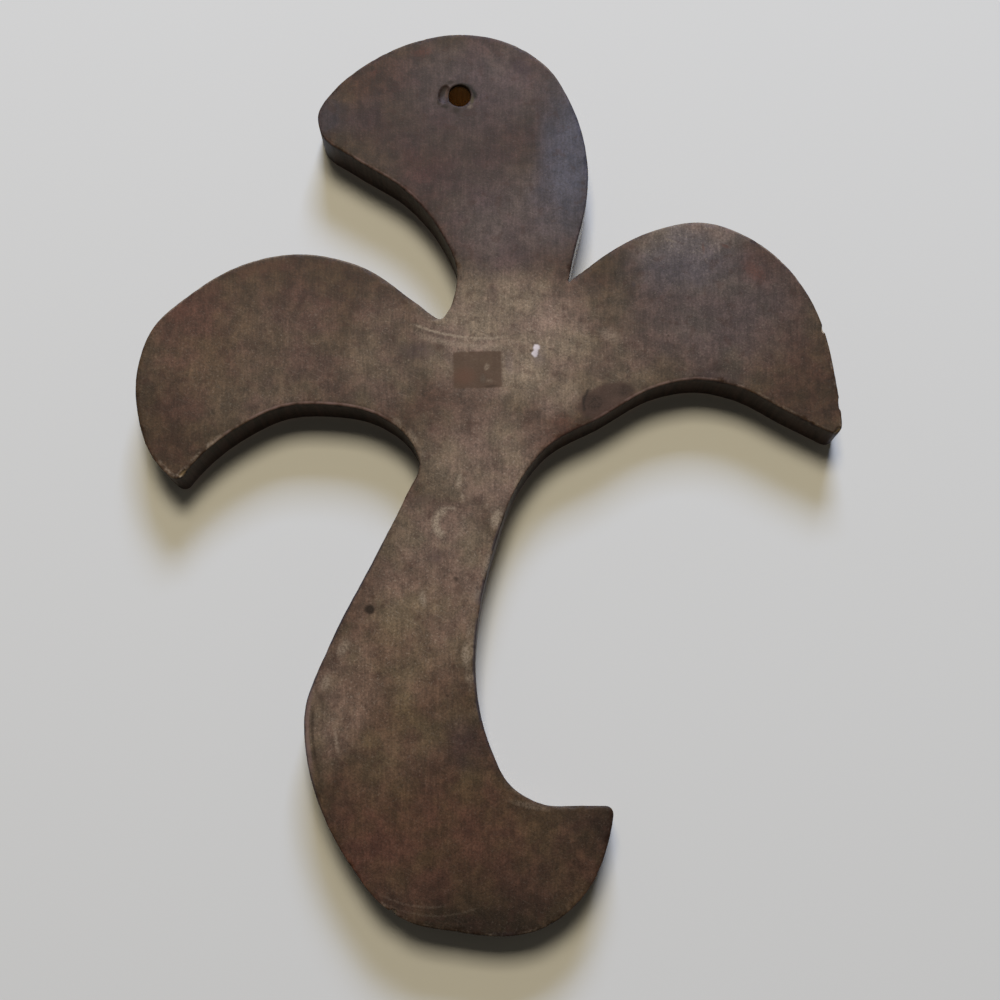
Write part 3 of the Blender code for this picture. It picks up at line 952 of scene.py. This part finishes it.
# Bands along the rim: right, up, half width, half height, lean, how far in, half width of the band,
# patch share, shade, strength
rimMarks = {
    "underRightArm": (68, -102, 38, 14, 8, 0.5, 0.8, 0.60, "pink", 0.34),
    "rightArmTip": (106, -106, 20, 12, -35, 0.5, 0.7, 0.50, "pale", 0.40),
    "underLeftArm": (-46, -108, 44, 16, 14, 0.5, 0.8, 0.62, "pink", 0.48),
    "leftWaist": (-17, -118, 9, 12, 0, 1.2, 2.0, 0.60, "pale", 0.36),
    "underLobe": (-28, -26, 28, 20, -32, 0.4, 0.8, 0.60, "pink", 0.35),
    "rightArmEdge": (122, -94, 5, 26, 0, 0.5, 0.8, 0.45, "pale", 0.50),
    "leftRimPink": (-47, -211, 6, 18, 0, 1.0, 1.1, 0.80, "pink", 0.36),
    "leftRimLine": (-45, -213, 7, 13, 0, 2.8, 0.6, 0.90, "deep", 0.55),
    # thin dark lines on the worn edges of the stem and the lobe's right side; their bluish tone is painted
    # sheen of the window light
    "stemLeftLine": (-36, -190, 22, 60, -14, 0.15, 0.9, 0.80, "slate", 0.70),
    "stemRightLine": (8, -178, 16, 52, 0, 0.15, 1.1, 0.85, "slate", 0.75),
    "lobeRightLine": (38, -40, 12, 34, 0, 0.15, 0.8, 0.60, "slate", 0.45),
    "stemRightWear": (6, -182, 10, 28, 0, 2.0, 2.0, 0.50, "pale", 0.40),
    "hookRim": (24, -230, 18, 8, 0, 0.6, 0.8, 0.45, "pale", 0.28),
    # pale line along the left arm's top edge: partly worn wood, partly a painted highlight where the edge
    # catches the light from above
    "leftArmTop": (-64, -66, 52, 24, 6, 0.3, 0.6, 0.75, "pale", 0.55),
    "leftArmTopRed": (-74, -70, 44, 24, 10, 3.4, 3.0, 0.55, "red", 0.22),
    "leftArmTipSpecks": (-88, -124, 18, 10, 30, 0.8, 1.2, 0.55, "pale", 0.70),
    # pale lines along the top lobe's and right arm's top edges: partly worn wood, partly a painted highlight
    "lobeTopLine": (2, 10, 46, 16, 0, 0.3, 0.6, 0.65, "pale", 0.40),
    "rightArmTop": (90, -58, 34, 20, -20, 0.3, 0.6, 0.65, "pale", 0.45),
    "rightArmUnder": (100, -104, 24, 12, -25, 0.6, 0.9, 0.50, "pale", 0.36),
    "underArmsShade": (20, -110, 110, 24, 0, 0.1, 0.6, 0.80, "purple", 0.50),
    "footRim": (-4, -264, 44, 16, 0, 0.5, 0.8, 0.45, "pale", 0.36)}


def woodMaterial(setting):
    material = bpy.data.materials.new("stainedWood")
    material.use_nodes = True
    tree = material.node_tree
    shader = tree.nodes["Principled BSDF"]
    metres = addNode(tree, "ShaderNodeTexCoord").outputs["Object"]
    place = scaled(tree, metres, 1.0 / millimetre)
    depth = addNode(tree, "ShaderNodeSeparateXYZ", {0: place}).outputs[1]
    showStart = showDepth / millimetre

    def attribute(name):
        return addNode(tree, "ShaderNodeAttribute", attribute_name=name).outputs["Fac"]

    def noiseOver(size, detail, output=0):
        return noiseAt(tree, vectorMaths(tree, "DIVIDE", place, size), detail, 0.6, output)

    def frayed(size, reach):
        # the place, moved about by noise, so that the marks' edges are uneven
        centred = vectorMaths(tree, "SUBTRACT", noiseOver([size] * 3, 2.0, 1), [0.5] * 3)
        moved = vectorMaths(tree, "MULTIPLY", centred, [2.0 * reach] * 3)
        return vectorMaths(tree, "ADD", place, moved)

    def spot(kind, position, right, up, halfWidth, halfHeight, lean, core):
        turn = radians(lean)
        inputs = {"Position": position, "Centre": (right, 0.0, up), "Core": core,
                  "Along": (cos(turn) / halfWidth, 0.0, sin(turn) / halfWidth),
                  "Across": (-sin(turn) / halfHeight, 0.0, cos(turn) / halfHeight)}
        return useGroup(tree, kind, inputs)[0]

    def times(first, second):
        return maths(tree, "MULTIPLY", first, second)

    def lay(masks, shade, mask):
        masks[shade] = maths(tree, "MAXIMUM", masks.get(shade, 0.0), mask)

    def overlay(colour, masks, share):
        share = times(share, onShowFace)
        for shade in shades:
            if shade in masks:
                colour = mixColour(tree, times(masks[shade], share), colour, shades[shade])
        return colour

    def swing(share, middle, amount):
        return spread(tree, share, 0.0, 1.0, middle - amount, middle + amount, "LINEAR")

    wallShare, boreShare = attribute("wallShare"), attribute("boreShare")
    rimDistance, scoopShare = attribute("rimDistance"), attribute("scoopShare")
    figure = useGroup(tree, "woodFigure", {"Position": place})
    frayedWide = frayed(*setting["wideFray"])
    frayedFine = frayed(*setting["fineFray"])
    broken = spread(tree, figure["Speck"], *setting["breakUp"], 1.0)
    rimPatches = noiseOver([setting["rimPatchSize"]] * 3, 3.0)
    onShowFace = maths(tree, "LESS_THAN", depth, showStart + setting["showFaceDepth"])

    # stain, paled by dust and tinted, partly with painted sheen
    colour = mixColour(tree, figure["Mottle"], setting["darkStain"], setting["warmStain"])
    dusty, tinted = {}, {}
    for *area, amount in dustAreas.values():
        lay(dusty, "dust", times(spot("softSpot", frayedWide, *area, setting["dustCore"]), amount))
    dustAmount = times(dusty["dust"], swing(figure["Cloud"], 1.0, setting["dustClouds"]))
    dustAmount = mixValue(tree, onShowFace, setting["backDust"], dustAmount)
    colour = mixColour(tree, dustAmount, colour, setting["dust"])
    for *area, shade, amount in tintAreas.values():
        lay(tinted, shade, times(spot("softSpot", frayedWide, *area, setting["tintCore"]), amount))
    colour = overlay(colour, tinted, 1.0)

    # the wood's figure, light and dark
    lightness = times(swing(figure["Cloud"], 1.0, setting["cloudContrast"]),
                      swing(figure["Mottle"], 1.0, setting["mottleContrast"]))
    lightness = times(lightness, swing(figure["Speck"], 1.0, setting["speckContrast"]))
    lightness = times(lightness, swing(figure["Fibre"], 1.0, setting["fibreContrast"]))
    hue = swing(figure["Hue"], 0.5, setting["hueSwing"])
    inputs = {"Color": colour, "Hue": hue, "Value": lightness}
    colour = addNode(tree, "ShaderNodeHueSaturation", inputs).outputs[0]
    pores = times(figure["Dark Speck"], setting["poreShare"])
    colour = mixColour(tree, pores, colour, setting["poreDark"])
    spots = times(figure["Stain Spot"], setting["spotShare"])
    colour = mixColour(tree, spots, colour, setting["spotStain"])
    specks = maths(tree, "MAXIMUM", figure["Light Speck"], times(figure["Scratch"], setting["scratchShare"]))
    speckShare = maths(tree, "ADD", times(dustAmount, setting["specksInDust"]), setting["specksAnywhere"])
    colour = mixColour(tree, times(specks, speckShare), colour, setting["lightSpeck"])

    # marks, whole ones under those that the specks break up
    whole, speckled = {}, {}
    for kind, *area, shade, strength in faceMarks.values():
        masks = speckled if kind == "speckled" else whole
        group = "softPanel" if kind == "softPanel" else "softSpot"
        lay(masks, shade, times(spot(group, frayedFine, *area), strength))
    for kind, right, up, radius, way, halfAngle, halfWidth, shade, strength in faceArcs.values():
        masks = speckled if kind == "speckled" else whole
        inputs = {"Position": frayedFine, "Centre": (right, 0.0, up), "Radius": radius,
                  "Middle Way": (cos(radians(way)), 0.0, sin(radians(way))),
                  "Half Width": halfWidth, "Reach": cos(radians(halfAngle))}
        lay(masks, shade, times(useGroup(tree, "softArc", inputs)[0], strength))
    for *area, inset, halfWidth, patches, shade, strength in rimMarks.values():
        masks = speckled if shade == "pale" else whole
        inputs = {"Rim Distance": rimDistance, "Patches": rimPatches, "Middle": inset,
                  "Half Width": halfWidth, "Patch Share": patches}
        mask = times(useGroup(tree, "edgeBand", inputs)[0], strength)
        lay(masks, shade, times(mask, spot("softSpot", place, *area, setting["rimCore"])))
    colour = overlay(colour, whole, 1.0)
    colour = overlay(colour, speckled, broken)

    # the sawn wall, the bore and the chips
    streaks = spread(tree, noiseOver(setting["sawStreak"], 3.0), *setting["sawRange"])
    wall = mixColour(tree, streaks, setting["wallDark"], setting["wallStain"])
    colour = mixColour(tree, spread(tree, wallShare, *setting["wallRange"]), colour, wall)
    # the bore is painted darker near the show face's mouth, as painted shade, with raw wood deeper in
    mouthShadeEnd = showStart + setting["mouthShadeFull"]
    deepEnough = spread(tree, depth, mouthShadeEnd, mouthShadeEnd + setting["mouthShadeFade"])
    bore = mixColour(tree, deepEnough, setting["boreMouthShade"], setting["rawBore"])
    inBore = times(boreShare, spread(tree, wallShare, *setting["boreRange"]))
    colour = mixColour(tree, inBore, colour, bore)
    colour = mixColour(tree, times(scoopShare, setting["chipShare"]), colour, setting["rawChip"])
    wire(tree, colour, shader.inputs["Base Color"])

    roughness = maths(tree, "ADD", times(dustAmount, setting["dustRoughness"]), setting["roughness"])
    roughness = maths(tree, "ADD", roughness, times(figure["Speck"], setting["speckRoughness"]))
    wire(tree, roughness, shader.inputs["Roughness"])
    shader.inputs["Specular IOR Level"].default_value = setting["specular"]
    inputs = {"Height": figure["Speck"], "Strength": setting["bumpStrength"],
              "Distance": setting["bumpHeight"]}
    bump = addNode(tree, "ShaderNodeBump", inputs)
    wire(tree, bump.outputs["Normal"], shader.inputs["Normal"])
    return material


wood = woodMaterial(stainSetting)
applyRelief(board, reliefTree(reliefSetting, reliefSeed), wood)
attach(board, "root")
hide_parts("cross_board")
print("board finished:", len(board.data.polygons), "faces")


# Studio

studioSetting = {
    "sheetWidth": 3.0,
    "sheetGap": 0.0004,          # behind the wall face
    "touchReach": 0.0015,        # light passes the sheet on this short a way, to reach the board's back
    "sheet": screen(206, 206, 205),
    "worldColour": (1.10, 1.0, 0.80),
    "worldStrength": 0.06,
    "roomSeen": screen(206, 206, 205)}

# Each light: the way to it from the board, how far it is, its width and height, power and colour
studioLights = {
    "ceilingLight": ((-0.03, -1.0, 0.42), 2.4, 0.70, 0.75, 32.6, (1.14, 1.0, 0.71)),
    "windowLight": ((0.13, -1.0, 1.42), 3.4, 1.15, 0.95, 80.0, (0.81, 1.0, 1.43)),
    "backLight": ((0.35, 0.75, 0.56), 1.4, 0.80, 0.80, 16.0, (1.0, 1.0, 1.0))}


def addSheet(setting):
    half = setting["sheetWidth"] / 2.0
    centre = (cadLow + cadHigh) / 2.0
    corners = [(centre.x + right * half, setting["sheetGap"], centre.z + up * half)
               for right, up in ((-1, -1), (1, -1), (1, 1), (-1, 1))]
    mesh = bpy.data.meshes.new("paleSheet")
    mesh.from_pydata(corners, [], [(0, 1, 2, 3)])
    item = bpy.data.objects.new("paleSheet", mesh)
    bpy.context.scene.collection.objects.link(item)
    material = bpy.data.materials.new("paleSheet")
    material.use_nodes = True
    tree = material.node_tree
    tree.nodes.remove(tree.nodes["Principled BSDF"])
    matt = addNode(tree, "ShaderNodeBsdfDiffuse", {"Color": setting["sheet"]}).outputs[0]
    clear = tree.nodes.new("ShaderNodeBsdfTransparent").outputs[0]
    path = tree.nodes.new("ShaderNodeLightPath").outputs
    behind = tree.nodes.new("ShaderNodeNewGeometry").outputs["Backfacing"]
    touching = maths(tree, "LESS_THAN", path["Ray Length"], setting["touchReach"])
    share = maths(tree, "MAXIMUM", maths(tree, "MAXIMUM", behind, path["Is Shadow Ray"]), touching)
    mixed = addNode(tree, "ShaderNodeMixShader", {0: share, 1: matt, 2: clear}).outputs[0]
    wire(tree, mixed, tree.nodes["Material Output"].inputs["Surface"])
    mesh.materials.append(material)


def addLight(name, way, distance, width, height, power, colour):
    data = bpy.data.lights.new(name, "AREA")
    data.shape = "RECTANGLE"
    data.size = width
    data.size_y = height
    data.energy = power
    data.color = colour
    item = bpy.data.objects.new(name, data)
    item.location = (cadLow + cadHigh) / 2.0 + Vector(way).normalized() * distance
    item.rotation_euler = (-Vector(way)).to_track_quat("-Z", "Y").to_euler()
    bpy.context.scene.collection.objects.link(item)


def addStudio(setting):
    addSheet(setting)
    for name, values in studioLights.items():
        addLight(name, *values)
    world = bpy.data.worlds.new("paleRoom")
    world.use_nodes = True
    tree = world.node_tree
    background = tree.nodes["Background"]
    background.inputs["Color"].default_value = (*setting["worldColour"], 1.0)
    background.inputs["Strength"].default_value = setting["worldStrength"]
    seen = addNode(tree, "ShaderNodeBackground", {"Color": setting["roomSeen"], "Strength": 1.0}).outputs[0]
    looking = tree.nodes.new("ShaderNodeLightPath").outputs["Is Camera Ray"]
    mixed = addNode(tree, "ShaderNodeMixShader", {0: looking, 1: background.outputs[0], 2: seen}).outputs[0]
    wire(tree, mixed, tree.nodes["World Output"].inputs["Surface"])
    bpy.context.scene.world = world
    bpy.context.scene.view_settings.view_transform = "Standard"


addStudio(studioSetting)
print("studio lit")
